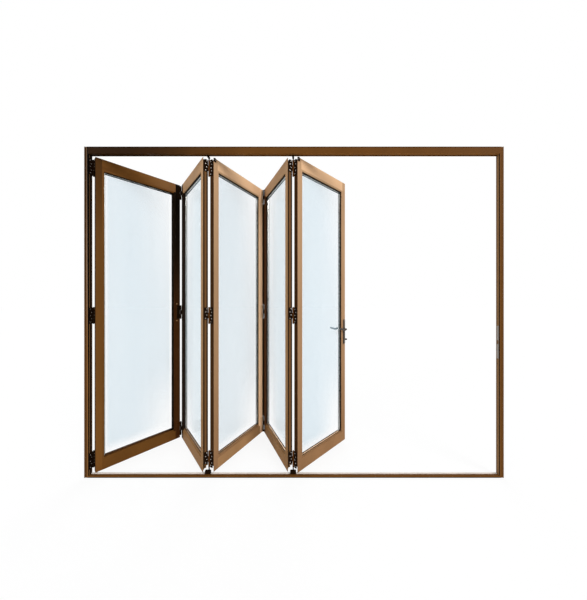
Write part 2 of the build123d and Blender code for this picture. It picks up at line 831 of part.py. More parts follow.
# Lock faceplate on the closing edge, and its strike on the jamb
faceplate_middle = lever_height - cylinder_drop / 2
closing_edge = leaf_plane(leaf_count)
edge_origin = closing_edge.from_local_coords((leaf_width / 2, leaf_thickness / 2, faceplate_middle))
edge_plane = Plane(origin=edge_origin, x_dir=closing_edge.y_dir, z_dir=closing_edge.x_dir)
strike_y = half_depth - leaf_thickness / 2
strike_origin = (inner_half, strike_y, faceplate_middle)
strike_plane = Plane(origin=strike_origin, x_dir=(0, 1, 0), z_dir=(-1, 0, 0))
strike_hole_width = latch_width + 2 * strike_clearance
strike_hole_height = latch_height + 2 * strike_clearance
with BuildPart() as lock_plates:
    with BuildSketch(edge_plane):
        RectangleRounded(faceplate_width, faceplate_height, faceplate_width / 4)
    extrude(amount=faceplate_thickness)
    with BuildSketch(edge_plane.offset(faceplate_thickness)):
        Rectangle(latch_width, latch_height)
    extrude(amount=latch_reach)
    with BuildSketch(strike_plane):
        RectangleRounded(faceplate_width, faceplate_height, faceplate_width / 4)
        Rectangle(strike_hole_width, strike_hole_height, mode=Mode.SUBTRACT)
    extrude(amount=leaf_gap / 2 - strike_clearance)
save(lock_plates.part, "lock_plates")
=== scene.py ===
import math

import bmesh
import bpy
from mathutils import Matrix, Vector


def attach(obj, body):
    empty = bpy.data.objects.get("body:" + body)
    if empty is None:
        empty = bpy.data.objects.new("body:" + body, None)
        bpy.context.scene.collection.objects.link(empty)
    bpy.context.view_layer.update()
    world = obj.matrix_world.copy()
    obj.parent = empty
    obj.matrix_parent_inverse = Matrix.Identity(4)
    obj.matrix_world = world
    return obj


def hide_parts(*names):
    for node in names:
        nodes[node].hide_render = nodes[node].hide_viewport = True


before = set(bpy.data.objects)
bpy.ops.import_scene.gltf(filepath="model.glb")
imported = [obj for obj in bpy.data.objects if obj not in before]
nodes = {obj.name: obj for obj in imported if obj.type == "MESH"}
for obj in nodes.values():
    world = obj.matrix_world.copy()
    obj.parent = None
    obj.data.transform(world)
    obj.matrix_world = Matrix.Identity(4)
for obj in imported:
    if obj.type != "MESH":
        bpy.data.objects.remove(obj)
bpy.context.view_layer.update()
scene = bpy.context.scene

# Sizes and places in metres. They follow the CAD source, but the plates' corners are a little rounder
PITCH = 0.5956
LEAF_WIDTH = 0.5876
LEAF_THICKNESS = 0.036
LEAF_GAP = 0.008
LEAF_TOP = 2.336
STILE_FACE = 0.038
GLASS_LOW = 0.100
GLASS_HIGH = 2.260
GLASS_MIDDLE = 0.020
HINGE_OFFSET = 0.007
PIVOT_DEPTH = LEAF_THICKNESS + 2 * HINGE_OFFSET
PIVOT_Y = 0.025
FIRST_PIVOT = -1.489
FOLD_ANGLES = {1: 49.0, 2: -49.0, 3: 63.3, 4: -63.3, 5: 45.0}
HINGE_HEIGHT = 0.120
HINGE_CENTRES = (0.109, 1.1735, 2.266)
SHORT_PLATE_HEIGHT = 0.090
PLATE_WIDTH = 0.027
PLATE_THICKNESS = 0.0032
PLATE_CORNER = 0.006
FACE_PLATE_WIDTH = 0.026
FACE_PLATE_THICKNESS = 0.004
KNUCKLE_RADIUS = 0.006
KNUCKLE_GAP = 0.0005
KNUCKLE_RIM = 0.0006
PIN_HEAD_RADIUS = 0.0045
PIN_HEAD_HEIGHT = 0.003
SEAT_GAP = 0.0003
SMALL_RIM = 0.0005
SCREW_RADIUS = 0.0038
SCREW_PITCH = 0.0232
SCREW_SIDESTEP = 0.0045
CAP_INSET = 0.032
CAP_OFFSET = 0.076
CAP_RIM_RADIUS = 0.0080
CAP_HEAD_RADIUS = 0.0062
TRACK_Y = 0.005
WHEEL_CENTRE = 2.3623
WHEEL_RADIUS = 0.008
WHEEL_WIDTH = 0.0035
WHEEL_SPACING = 0.044
AXLE_RADIUS = 0.0025
TROLLEY_LENGTH = 0.070
TROLLEY_WIDTH = 0.010
TROLLEY_BELOW = 0.005
TROLLEY_ABOVE = 0.013
POST_RADIUS = 0.0045
POST_SUNK = 0.001
BUSH_RADIUS = 0.0062
ARM_WIDTH = 0.014
ARM_CORNER = 0.0055
CARRIER_ARM_LOW = 2.339
CARRIER_ARM_THICKNESS = 0.008
GUIDE_ARM_LOW = 0.016
GUIDE_ARM_THICKNESS = 0.005
GUIDE_BODY_LENGTH = 0.044
GUIDE_BODY_WIDTH = 0.016
GUIDE_BODY_HEIGHT = 0.024
GUIDE_STEP = 0.004
GUIDE_BLOCK_LENGTH = 0.040
GUIDE_BLOCK_WIDTH = 0.009
GUIDE_LOW = 0.0063
LEVER_HEIGHT = 1.025
CYLINDER_DROP = 0.090
BACKPLATE_THICKNESS = 0.008
LEVER_START = 0.0085
GRIP_MIDDLE = 0.0335
KNOB_START = 0.0115
KNOB_RIB_RADIUS = 0.0072
KNOB_GROOVE_RADIUS = 0.0067
KNOB_RIBS = 24
FACEPLATE_MIDDLE = 0.980
FACEPLATE_THICKNESS = 0.003
STRIKE_FACE = 1.490


def linear(*levels):
    """Colour levels of 0 to 255 as the linear colour that Blender's sockets take."""
    out = []
    for level in levels:
        part = level / 255
        out.append(part / 12.92 if part <= 0.04045 else ((part + 0.055) / 1.055) ** 2.4)
    return (*out, 1.0)


# Camera at the photograph's place, looking straight at the frame
camera_data = bpy.data.cameras.new("camera")
camera_data.lens = 14.262
camera_data.shift_x = -0.0192
camera_data.shift_y = -0.0038
camera_data.clip_start = 0.05
camera = bpy.data.objects.new("camera", camera_data)
camera.location = (0.080, -1.740, 1.305)
camera.rotation_euler = (math.radians(90), 0, 0)
scene.collection.objects.link(camera)
scene.camera = camera
scene.view_settings.view_transform = "Standard"


# Directions, and the sizes of the materials' patterns: noise scales per metre, and places in metres
UP = (0, 0, 1)
LEFT = (-1, 0, 0)
RIGHT = (1, 0, 0)
AWAY = (0, 1, 0)
DOWN = (0, 0, -1)
MIDDLE = (0, 0, 0)
MOTTLE_SCALE = 5.0
POWDER_GRAIN = 900.0
SCRATCH_SCALE = 260.0
CLOUD_SCALE = 14.0
RUBBER_GRAIN = 500.0
REFLECTION_STREAK_SCALE = 2.5
LEAF_SHADE_TOP = 2.25
LEAF_SHADE_FOOT = 0.15
HAZE_MARGIN = 0.018
OUTER_FACE_RAMP = (0.0045, 0.0055)


# Material nodes
def add_node(tree, kind, inputs=None, **settings):
    """A shader node with its settings, and its inputs set or linked."""
    made = tree.nodes.new(kind)
    for key, value in settings.items():
        setattr(made, key, value)
    for key, value in (inputs or {}).items():
        if isinstance(value, bpy.types.NodeSocket):
            tree.links.new(value, made.inputs[key])
        else:
            made.inputs[key].default_value = value
    return made


def new_material(name):
    material = bpy.data.materials.new(name)
    material.use_nodes = True
    tree = material.node_tree
    return material, tree, tree.nodes["Principled BSDF"]


def map_range(tree, value, start, end, low, high, smooth=True):
    kind = "SMOOTHSTEP" if smooth else "LINEAR"
    inputs = {"Value": value, "From Min": start, "From Max": end, "To Min": low, "To Max": high}
    return add_node(tree, "ShaderNodeMapRange", inputs, interpolation_type=kind).outputs["Result"]


def multiply(tree, first, second):
    return add_node(tree, "ShaderNodeMath", {0: first, 1: second}, operation="MULTIPLY").outputs[0]


def blend_colour(tree, factor, first, second):
    """The first colour where the factor is 0, the second where it is 1."""
    mix = add_node(tree, "ShaderNodeMix", {0: factor, 6: first, 7: second}, data_type="RGBA")
    return mix.outputs[2]


def noise(tree, vector, scale, detail=3.0, stretch=(1, 1, 1)):
    mapping = add_node(tree, "ShaderNodeMapping", {"Vector": vector, "Scale": stretch})
    inputs = {"Vector": mapping.outputs[0], "Scale": scale, "Detail": detail}
    return add_node(tree, "ShaderNodeTexNoise", inputs).outputs["Fac"]


def along(tree, vector, direction, origin=MIDDLE):
    """Distance of each point from an origin, measured along a direction."""
    offset = add_node(tree, "ShaderNodeVectorMath", {0: vector, 1: origin}, operation="SUBTRACT")
    inputs = {0: offset.outputs[0], 1: direction}
    return add_node(tree, "ShaderNodeVectorMath", inputs, operation="DOT_PRODUCT").outputs["Value"]


def add_bands(tree, place, base, bands):
    """Lays colours over a base, each where all its ramps are past their ends.

    A band is (ramps, colour), and a ramp is (direction, origin, start, end)."""
    for ramps, band in bands:
        amount = 1.0
        for direction, origin, start, end in ramps:
            ramp = map_range(tree, along(tree, place, direction, origin), start, end, 0.0, 1.0)
            amount = multiply(tree, amount, ramp)
        base = blend_colour(tree, amount, base, band)
    return base


def painted(name, colour, roughness=0.45, shades=(), patches=(), low_colour=None, bands=(), specular=0.02):
    """Powder-coated metal: mottled colour, slow changes of tone that paint light and shade, and a fine
    orange-peel bump.

    Each shade is (direction, origin, start, end, factor at start, factor at end), a gradient of painted
    light and shade.
    Each patch is (direction that the surface faces, colour there), painted light and shade on the faces
    that face that way.
    The bands are those of add_bands.
    The low colour is what the colour turns into towards the floor, as painted shade."""
    material, tree, shader = new_material(name)
    place = add_node(tree, "ShaderNodeTexCoord").outputs["Object"]
    mottle = noise(tree, place, MOTTLE_SCALE, 4.0, (1, 1, 0.25))
    tone = map_range(tree, mottle, 0.3, 0.7, 0.93, 1.07)
    for direction, origin, start, end, low, high in shades:
        distance = along(tree, place, direction, origin)
        tone = multiply(tree, tone, map_range(tree, distance, start, end, low, high))
    base = add_node(tree, "ShaderNodeRGB").outputs[0]
    base.default_value = colour
    if low_colour:
        height = along(tree, place, UP)
        lowness = map_range(tree, height, LEAF_SHADE_TOP, LEAF_SHADE_FOOT, 0.0, 1.0, False)
        base = blend_colour(tree, lowness, base, low_colour)
    normal = add_node(tree, "ShaderNodeNewGeometry").outputs["Normal"]
    for side, patch in patches:
        amount = map_range(tree, along(tree, normal, side), 0.6, 0.9, 0.0, 1.0)
        base = blend_colour(tree, amount, base, patch)
    base = add_bands(tree, place, base, bands)
    toned = add_node(tree, "ShaderNodeVectorMath", {0: base, "Scale": tone}, operation="SCALE")
    tree.links.new(toned.outputs[0], shader.inputs["Base Color"])
    grain = noise(tree, place, POWDER_GRAIN, 2.0)
    rough = map_range(tree, grain, 0.3, 0.7, roughness - 0.05, roughness + 0.05)
    tree.links.new(rough, shader.inputs["Roughness"])
    bump = add_node(tree, "ShaderNodeBump", {"Height": grain, "Strength": 0.25, "Distance": 0.0002})
    tree.links.new(bump.outputs[0], shader.inputs["Normal"])
    shader.inputs["Specular IOR Level"].default_value = specular
    return material


def metal(name, colour, roughness, scratches, bands=()):
    """Bare or plated metal with fine scratches along one direction and cloudy gloss."""
    material, tree, shader = new_material(name)
    place = add_node(tree, "ShaderNodeTexCoord").outputs["Object"]
    streaks = noise(tree, place, SCRATCH_SCALE, 3.0, scratches)
    clouds = noise(tree, place, CLOUD_SCALE, 4.0)
    dark = tuple(level * 0.78 for level in colour[:3]) + (1.0,)
    base = add_bands(tree, place, blend_colour(tree, clouds, dark, colour), bands)
    tree.links.new(base, shader.inputs["Base Color"])
    rough = map_range(tree, streaks, 0.3, 0.7, roughness - 0.08, roughness + 0.1)
    tree.links.new(rough, shader.inputs["Roughness"])
    bump = add_node(tree, "ShaderNodeBump", {"Height": streaks, "Strength": 0.15, "Distance": 0.0001})
    tree.links.new(bump.outputs[0], shader.inputs["Normal"])
    shader.inputs["Metallic"].default_value = 0.9
    return material


def rubber(name, colour, bands=()):
    """Matt rubber with a fine grain."""
    material, tree, shader = new_material(name)
    place = add_node(tree, "ShaderNodeTexCoord").outputs["Object"]
    grain = noise(tree, place, RUBBER_GRAIN, 3.0)
    light = tuple(min(1.0, level * 1.5 + 0.004) for level in colour[:3]) + (1.0,)
    amount = map_range(tree, grain, 0.35, 0.75, 0.0, 1.0)
    base = add_bands(tree, place, blend_colour(tree, amount, colour, light), bands)
    tree.links.new(base, shader.inputs["Base Color"])
    rough = map_range(tree, grain, 0.3, 0.7, 0.65, 0.85)
    tree.links.new(rough, shader.inputs["Roughness"])
    bump = add_node(tree, "ShaderNodeBump", {"Height": grain, "Strength": 0.3, "Distance": 0.0003})
    tree.links.new(bump.outputs[0], shader.inputs["Normal"])
    shader.inputs["Specular IOR Level"].default_value = 0.02
    return material


def glazing(name, colour, haze, direction, room, origin):
    """Pane with a cool haze on its outer faces, clear along its edges; painted reflection thins it in
    upright streaks and far corners.
    """
    material, tree, shader = new_material(name)
    place = add_node(tree, "ShaderNodeTexCoord").outputs["Object"]
    distance = along(tree, place, direction, origin)
    height = along(tree, place, UP)
    # Painted reflection: the haze thins in upright streaks and towards the far top and bottom corners
    streaks = noise(tree, place, REFLECTION_STREAK_SCALE, 1.0, (1, 1, 0.2))
    pale = map_range(tree, streaks, 0.35, 0.7, 0.0, 0.15)
    far = map_range(tree, distance, 0.2, 0.55, 0.0, 1.0)
    high = multiply(tree, far, map_range(tree, height, 1.0, 2.2, 0.25, 0.8))
    low = multiply(tree, far, map_range(tree, height, 0.8, 0.15, 0.0, 0.9))
    corners = add_node(tree, "ShaderNodeMath", {0: high, 1: low}, operation="ADD").outputs[0]
    amount = add_node(tree, "ShaderNodeMath", {0: pale, 1: corners}, operation="ADD", use_clamp=True)
    alpha = map_range(tree, amount.outputs[0], 0.0, 1.0, haze, haze * 0.2, False)
    inset = LEAF_GAP / 2 + STILE_FACE
    for value, edge, way, fade in ((distance, inset, 1, 0.045), (distance, PITCH - inset, -1, 0.055),
                                   (height, GLASS_LOW, 1, 0.120), (height, GLASS_HIGH, -1, 0.034)):
        clear = map_range(tree, value, edge + way * HAZE_MARGIN, edge + way * fade, 0.0, 1.0)
        alpha = multiply(tree, alpha, clear)
    depth = along(tree, place, room, origin)
    offset = add_node(tree, "ShaderNodeMath", {0: depth, 1: GLASS_MIDDLE}, operation="SUBTRACT").outputs[0]
    offset = add_node(tree, "ShaderNodeMath", {0: offset}, operation="ABSOLUTE").outputs[0]
    alpha = multiply(tree, alpha, map_range(tree, offset, *OUTER_FACE_RAMP, 0.0, 1.0))
    shadow = add_node(tree, "ShaderNodeLightPath").outputs["Is Shadow Ray"]
    alpha = multiply(tree, alpha, map_range(tree, shadow, 0.0, 1.0, 1.0, 0.0, False))
    tree.links.new(alpha, shader.inputs["Alpha"])
    shader.inputs["Base Color"].default_value = colour
    shader.inputs["Roughness"].default_value = 0.03
    shader.inputs["Specular IOR Level"].default_value = 0.5
    return material


# Leaf directions: along the leaf, and out of its room face
def turned(angle):
    angle = math.radians(angle)
    return Vector((math.cos(angle), math.sin(angle), 0))


def half_spread(angle):
    angle = math.radians(abs(angle))
    return PITCH * math.cos(angle) + PIVOT_DEPTH * math.sin(angle)


SECOND_PIVOT = FIRST_PIVOT + 2 * half_spread(FOLD_ANGLES[1])
THIRD_PIVOT = SECOND_PIVOT + 2 * half_spread(FOLD_ANGLES[3])
PIVOT_X = {1: FIRST_PIVOT, 2: SECOND_PIVOT, 3: SECOND_PIVOT, 4: THIRD_PIVOT, 5: THIRD_PIVOT}


def leaf_side(number):
    return 1 if number % 2 else -1


def leaf_frame(number):
    """Outer hinge axis, direction from it along the leaf, and direction out of the room face."""
    direction = turned(FOLD_ANGLES[number])
    room = Vector((direction.y, -direction.x, 0))
    return Vector((PIVOT_X[number], PIVOT_Y, 0)), direction * leaf_side(number), room


# Materials of the CAD nodes
# Painted shade and light on the leaves' end faces at their outer hinge axes: black on leaf 1, brown on
# leaves 3 and 5, pale on leaves 2 and 4
EDGE_BROWN = linear(70, 42, 18)
EDGE_PALE = linear(112, 78, 46)
EDGE_BLACK = linear(24, 15, 8)
# Painted shade: a dark line along the head's top edge
LINE_BROWN = linear(66, 40, 15)
HAZE = {1: 0.29, 2: 0.25, 3: 0.25, 4: 0.24, 5: 0.32}
# Painted shade on the room side of the far stiles of leaves 1, 2 and 4, and painted light on leaf 3's,
# which lies in its neighbours' shade
FAR_STILE_SHADE_AND_LIGHT = {
    1: linear(68, 38, 15),
    2: linear(34, 22, 12),
    3: linear(250, 206, 162),
    4: linear(84, 54, 32),
}
# Painted shade: the head darkens towards its left end and has a dark line along its top edge
head_shades = [(RIGHT, MIDDLE, -1.25, -0.15, 0.18, 1.0)]
head_bands = [([(UP, MIDDLE, 2.390, 2.396)], LINE_BROWN)]
# Painted shade: the left jamb darkens towards the top
jamb_shades = [(UP, MIDDLE, 2.4, 0.6, 0.5, 1.0)]

# The left jamb's painted shade on its outer side and in a leaning dark line on its front, its room half in
# its own colour, and painted light on its inner face and in leaning pale highlight lines on its front
jamb_front = (AWAY, MIDDLE, -0.014, -0.017)
jamb_inner_face_light = [
    (RIGHT, MIDDLE, -1.4940, -1.4932),
    (AWAY, MIDDLE, -0.0105, -0.0095),
    (AWAY, MIDDLE, -0.0030, -0.0045),
]
jamb_slant = (-1, 0, -0.0049)
jamb_highlight_line = [jamb_front, (jamb_slant, MIDDLE, 1.4885, 1.4900), (jamb_slant, MIDDLE, 1.4975, 1.4960)]
left_jamb_bands = [
    ([(LEFT, MIDDLE, 1.507, 1.512)], linear(40, 25, 12)),
    ([(AWAY, MIDDLE, -0.003, -0.006)], linear(92, 60, 30)),
    (jamb_inner_face_light, linear(150, 108, 64)),
    (jamb_highlight_line, linear(125, 86, 48)),
    (jamb_highlight_line + [(UP, MIDDLE, 0.9, 1.6)], linear(158, 126, 98)),
    ([jamb_front, (jamb_slant, MIDDLE, 1.4895, 1.4880)], linear(20, 12, 6)),
]

# Painted shade: a dark line along the sill's foot
sill_bands = [([(UP, MIDDLE, 0.008, 0.005)], linear(44, 32, 22))]
# Painted light on the head's underside, which faces down
head_paint = painted("head_bronze_paint", linear(98, 62, 26), shades=head_shades,
                     patches=[(DOWN, linear(136, 88, 40))], bands=head_bands)
sill_paint = painted("sill_bronze_paint", linear(104, 66, 28), bands=sill_bands)
# Painted shade on the left jamb's inner face, which faces right
left_jamb_paint = painted("left_jamb_bronze_paint", linear(92, 60, 30), shades=jamb_shades,
                          patches=[(RIGHT, linear(38, 24, 13))], bands=left_jamb_bands)
# Painted light on the right jamb's inner face, which faces left
right_jamb_paint = painted("right_jamb_bronze_paint", linear(104, 66, 28),
                           patches=[(LEFT, linear(150, 114, 78))])
aluminium = painted("satin_aluminium", linear(240, 232, 224), 0.35, specular=0.2)
hinge_paint = painted("hinge_bronze_paint", linear(28, 17, 9), 0.6, specular=0.0)
knuckle_paint = painted("knuckle_bronze_paint", linear(84, 52, 26), 0.6, specular=0.0)
# The bottom flush hinge takes the painted-shade colour of leaf 1's far stile
flush_bands = [([(UP, MIDDLE, 0.8, 0.7)], FAR_STILE_SHADE_AND_LIGHT[1])]
flush_paint = painted("flush_hinge_paint", linear(26, 17, 9), 0.6, bands=flush_bands, specular=0.0)
# Painted light: the hinges between leaves 3 and 4 take the lit tan of leaf 3
light_hinge_paint = painted("light_hinge_paint", linear(215, 176, 138), 0.6, specular=0.0)
cap_paint = painted("cap_bronze_paint", linear(150, 112, 76), 0.4)
steel = metal("hardware_steel", linear(150, 142, 134), 0.3, (1, 1, 0.1))
bright_steel = metal("screw_steel", linear(196, 188, 180), 0.25, (1, 1, 1))

# Gaskets and spacers take the beads' colours along the bottom rails, where the tan of leaves 2 to 5 is
# painted light, and take painted shade beside leaf 1's far stile
low_rails = (UP, MIDDLE, 0.121, 0.117)
leaf_1_low = (LEFT, MIDDLE, 1.07, 1.09)
edge_bands = [
    ([low_rails], linear(165, 126, 88)),
    ([low_rails, leaf_1_low], linear(96, 60, 26)),
    ([(LEFT, MIDDLE, 1.09, 1.10), (AWAY, MIDDLE, 0.39, 0.40)], linear(28, 18, 10)),
]


def pale_far_gasket(number):
    """Band that turns the weather side's gasket pale beside a leaf's far stile."""
    axis, direction, room = leaf_frame(number)
    ramps = [
        (tuple(direction), tuple(axis), PITCH - 0.075, PITCH - 0.070),
        (tuple(direction), tuple(axis), PITCH + 0.01, PITCH),
        (tuple(-room), tuple(axis), -0.016, -0.014),
        (tuple(room), tuple(axis), 0.0, 0.004),
    ]
    return ramps, linear(205, 208, 208)


gasket_bands = edge_bands + [pale_far_gasket(number) for number in (2, 3, 4, 5)]
black_rubber = rubber("seal_rubber", linear(34, 28, 26), gasket_bands)
# Painted shade: the seals turn near black on the left, between the jamb and leaf 1
left_painted_shade = [([(LEFT, MIDDLE, 1.40, 1.44)], linear(8, 6, 5))]
brown_rubber = rubber("edge_seal_rubber", linear(34, 23, 14), left_painted_shade)
spacer_metal = metal("spacer_aluminium", linear(236, 236, 230), 0.3, (1, 1, 0.2), edge_bands)
# Painted light: the backplates turn lighter above the lever
handle_shades = [(UP, MIDDLE, 1.032, 1.040, 1.0, 1.6)]
handle_finish = painted("handle_grey", linear(66, 58, 52), 0.32, specular=0.2)
backplate_finish = painted("backplate_grey", linear(68, 56, 46), 0.32, handle_shades, specular=0.2)

leaf_paints = {}
glass_tints = {}
for number in FOLD_ANGLES:
    axis, direction, room = leaf_frame(number)
    inwards = (-direction.x, -direction.y, 0)
    outwards = (direction.x, direction.y, 0)
    origin = tuple(axis)
    # Painted shade and light on the room side of the far stile and bead
    far = [(outwards, origin, PITCH - 0.060, PITCH - 0.055), (tuple(room), origin, 0.018, 0.028)]
    far_shade_and_light_bands = [(far, FAR_STILE_SHADE_AND_LIGHT[number])] if number in FAR_STILE_SHADE_AND_LIGHT else []
    lit_right = number % 2 == 1
    if number == 1:
        # Painted shade: leaf 1's far stile turns near black towards the top
        far_shade_and_light_bands.append((far + [(UP, MIDDLE, 0.9, 1.85)], linear(24, 16, 9)))
        # Painted shade and light on leaf 1: stiles darker at the top and lighter at the foot, the top rail
        # lighter, darker at its near end, and with a pale painted highlight towards its far end
        dim_top = (UP, origin, 2.3, 1.5, 0.50, 1.0)
        bright_foot = (UP, origin, 1.2, 0.2, 1.0, 1.2)
        brown = linear(104, 67, 29)
        stile = {"colour": brown, "shades": [dim_top, bright_foot]}
        far_end_highlight = [(UP, MIDDLE, 1.2, 2.2), (outwards, origin, 0.25, 0.50)]
        far_end_highlight = (far_end_highlight, linear(124, 86, 50))
        in_top_rail = (UP, MIDDLE, 2.20, 2.21)
        top_rail = ([in_top_rail], linear(113, 73, 32))
        near_end_shade = [(UP, MIDDLE, 2.33, 2.26), in_top_rail, (outwards, origin, 0.22, 0.08)]
        near_end_shade = (near_end_shade, linear(91, 57, 23))
        rail = {"colour": brown, "bands": [top_rail, near_end_shade, far_end_highlight]}
        bead = {"colour": brown}
        edge = EDGE_BLACK
    elif lit_right:
        # Painted light: leaves 3 and 5 take lit tan copies of leaf 1's bronze brown, with painted shade
        # towards the floor
        stile = {"colour": linear(190, 152, 116), "low_colour": linear(148, 110, 76)}
        rail = {"colour": linear(226, 184, 143), "low_colour": linear(164, 124, 84)}
        if number == 5:
            rail["low_colour"] = linear(149, 111, 76)
        bead = dict(stile)
        edge = EDGE_BROWN
    else:
        # Painted light: leaves 2 and 4 take lit tan copies of leaf 1's bronze brown, with painted shade
        # towards the floor
        stile = {"colour": linear(190, 150, 110), "low_colour": linear(150, 110, 68)}
        rail = dict(stile)
        bead = dict(stile)
        edge = EDGE_PALE
    # Painted shade and light: the end face at the outer hinge axis takes the leaf's edge colour
    patches = [(inwards, edge)]
    leaf_paints[number] = {
        "stiles": painted(f"leaf_{number}_stile_paint", patches=patches, bands=far_shade_and_light_bands, **stile),
        "rails": painted(f"leaf_{number}_rail_paint", **rail),
        "beads": painted(f"leaf_{number}_bead_paint", bands=far_shade_and_light_bands, **bead),
    }
    # Painted light: the tint is paler and bluer on leaves 2 and 4, which face left
    colour = linear(190, 216, 230) if lit_right else linear(198, 238, 255)
    name = f"leaf_{number}_glass_tint"
    glass_tints[number] = glazing(name, colour, HAZE[number], outwards, tuple(room), origin)


NODE_FINISHES = {
    "left_jamb": left_jamb_paint,
    "right_jamb": right_jamb_paint,
    "head_track": head_paint,
    "sill": sill_paint,
    "sill_guide": aluminium,
    "jamb_seals": brown_rubber,
    "edge_seals": brown_rubber,
    "rail_brushes": brown_rubber,
    "glazing_gaskets": black_rubber,
    "glass_spacers": spacer_metal,
    "corner_lugs": hinge_paint,
    "roller_carriers": hinge_paint,
    "bottom_guides": hinge_paint,
    "backplates": backplate_finish,
    "room_lever": handle_finish,
    "outer_lever": handle_finish,
    "turn_knob": handle_finish,
}


def finish_of(name):
    """The material that a CAD node is dressed in."""
    if name.startswith("leaf_"):
        number = int(name.split("_")[1])
        if name.endswith("glass"):
            return glass_tints[number]
        return leaf_paints[number][name.split("_")[2]]
    if "hinges" in name:
        return hinge_paint
    return NODE_FINISHES.get(name, steel)


for name, obj in nodes.items():
    for material_slot in obj.material_slots:
        material_slot.material = finish_of(name)


# Mesh pieces
def finish_piece(name, build, material, body, bevel=0.0):
    """Turns a filled bmesh into an object that rides on a body."""
    bmesh.ops.recalc_face_normals(build, faces=build.faces)
    mesh = bpy.data.meshes.new(name)
    build.to_mesh(mesh)
    build.free()
    mesh.materials.append(material)
    for polygon in mesh.polygons:
        polygon.use_smooth = True
    mesh.set_sharp_from_angle(angle=math.radians(40))
    piece = bpy.data.objects.new(name, mesh)
    scene.collection.objects.link(piece)
    if bevel:
        rounding = piece.modifiers.new("rounding", "BEVEL")
        rounding.width = bevel
        rounding.segments = 2
        rounding.limit_method = "ANGLE"
        rounding.angle_limit = math.radians(50)
        rounding.harden_normals = True
    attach(piece, body)
    return piece


def basis(origin, x_dir, y_dir):
    """Matrix of a local frame with the given x and y directions."""
    x_dir = Vector(x_dir).normalized()
    y_dir = Vector(y_dir).normalized()
    z_dir = x_dir.cross(y_dir)
    matrix = Matrix((x_dir, y_dir, z_dir)).transposed().to_4x4()
    matrix.translation = Vector(origin)
    return matrix


def add_prism(build, outline, low, high, matrix):
    """A closed outline pushed from one height to another in a local frame."""
    bottom = [build.verts.new(matrix @ Vector((x, y, low))) for x, y in outline]
    top = [build.verts.new(matrix @ Vector((x, y, high))) for x, y in outline]
    count = len(outline)
    for index in range(count):
        following = (index + 1) % count
        build.faces.new((bottom[index], bottom[following], top[following], top[index]))
    build.faces.new(bottom)
    build.faces.new(top)


def facing(origin, out, height):
    """Local frame on an upright face: x level, y up, z out of the face."""
    return basis(origin + Vector((0, 0, height)), Vector(UP).cross(out), UP)


def level(x, y, z=0.0):
    return Matrix.Translation((x, y, z))


def rounded_rectangle(width, height, radius, steps=5):
    """Corner points of a rectangle about the origin, each corner an arc."""
    points = []
    for quarter, (sx, sy) in enumerate(((1, 1), (-1, 1), (-1, -1), (1, -1))):
        for step in range(steps + 1):
            angle = math.radians(90 * quarter + 90 * step / steps)
            x = sx * (width / 2 - radius) + radius * math.cos(angle)
            y = sy * (height / 2 - radius) + radius * math.sin(angle)
            points.append((x, y))
    return points


def on_circle(radius, step, count):
    """One of a count of even points on a circle about the origin."""
    angle = 2 * math.pi * step / count
    return radius * math.cos(angle), radius * math.sin(angle)


def add_lathe(build, profile, matrix, segments=24):
    """A solid of revolution about the local z axis, from (radius, height) pairs."""
    rings = []
    for radius, height in profile:
        if radius == 0:
            rings.append([build.verts.new(matrix @ Vector((0, 0, height)))])
            continue
        ring = []
        for step in range(segments):
            point = Vector((*on_circle(radius, step, segments), height))
            ring.append(build.verts.new(matrix @ point))
        rings.append(ring)
    for low, high in zip(rings, rings[1:]):
        for step in range(segments):
            following = (step + 1) % segments
            if len(low) == 1:
                build.faces.new((low[0], high[following], high[step]))
            elif len(high) == 1:
                build.faces.new((low[step], low[following], high[0]))
            else:
                build.faces.new((low[step], low[following], high[following], high[step]))


def capped_cylinder(radius, low, high, edge):
    """Lathe profile of a cylinder with small rounded rims."""
    return [
        (0, low), (radius - edge, low), (radius - edge * 0.3, low + edge * 0.3), (radius, low + edge),
        (radius, high - edge), (radius - edge * 0.3, high - edge * 0.3), (radius - edge, high), (0, high),
    ]


SCREW_PROFILE = [
    (0, -0.0002), (0.0007, -0.0002), (0.0012, 0.0006), (0.0024, 0.0010), (0.0034, 0.0007),
    (SCREW_RADIUS, 0.0001), (SCREW_RADIUS, -0.0006), (0, -0.0006),
]


def add_screw(build, matrix):
    """A low round screw head with a sunk socket."""
    add_lathe(build, SCREW_PROFILE, matrix, 12)


def plate_frame(axis, direction, out, on_face):
    """Local frame in a hinge plate's middle: x across it, y up, z out of its leaf."""
    if on_face:
        start = KNUCKLE_RADIUS + KNUCKLE_GAP
        end = LEAF_GAP / 2 + FACE_PLATE_WIDTH
        origin = axis + direction * (start + end) / 2 - out * HINGE_OFFSET
        return origin, out, end - start, FACE_PLATE_THICKNESS
    origin = axis + direction * LEAF_GAP / 2 - out * (HINGE_OFFSET + PLATE_WIDTH / 2)
    return origin, -direction, PLATE_WIDTH, PLATE_THICKNESS


def add_hinge_plate(plates, screws, axis, direction, out, low, high, on_face, screw_count):
    """Rounded plate, with screws that step from one side of its middle to the other."""
    origin, normal, width, thickness = plate_frame(axis, direction, out, on_face)
    matrix = facing(origin, normal, (low + high) / 2)
    outline = rounded_rectangle(width, high - low, PLATE_CORNER)
    add_prism(plates, outline, 0, thickness, matrix)
    for index in range(screw_count):
        step = index - (screw_count - 1) / 2
        offset = SCREW_SIDESTEP if index % 2 else -SCREW_SIDESTEP
        add_screw(screws, matrix @ level(offset, step * SCREW_PITCH, thickness))


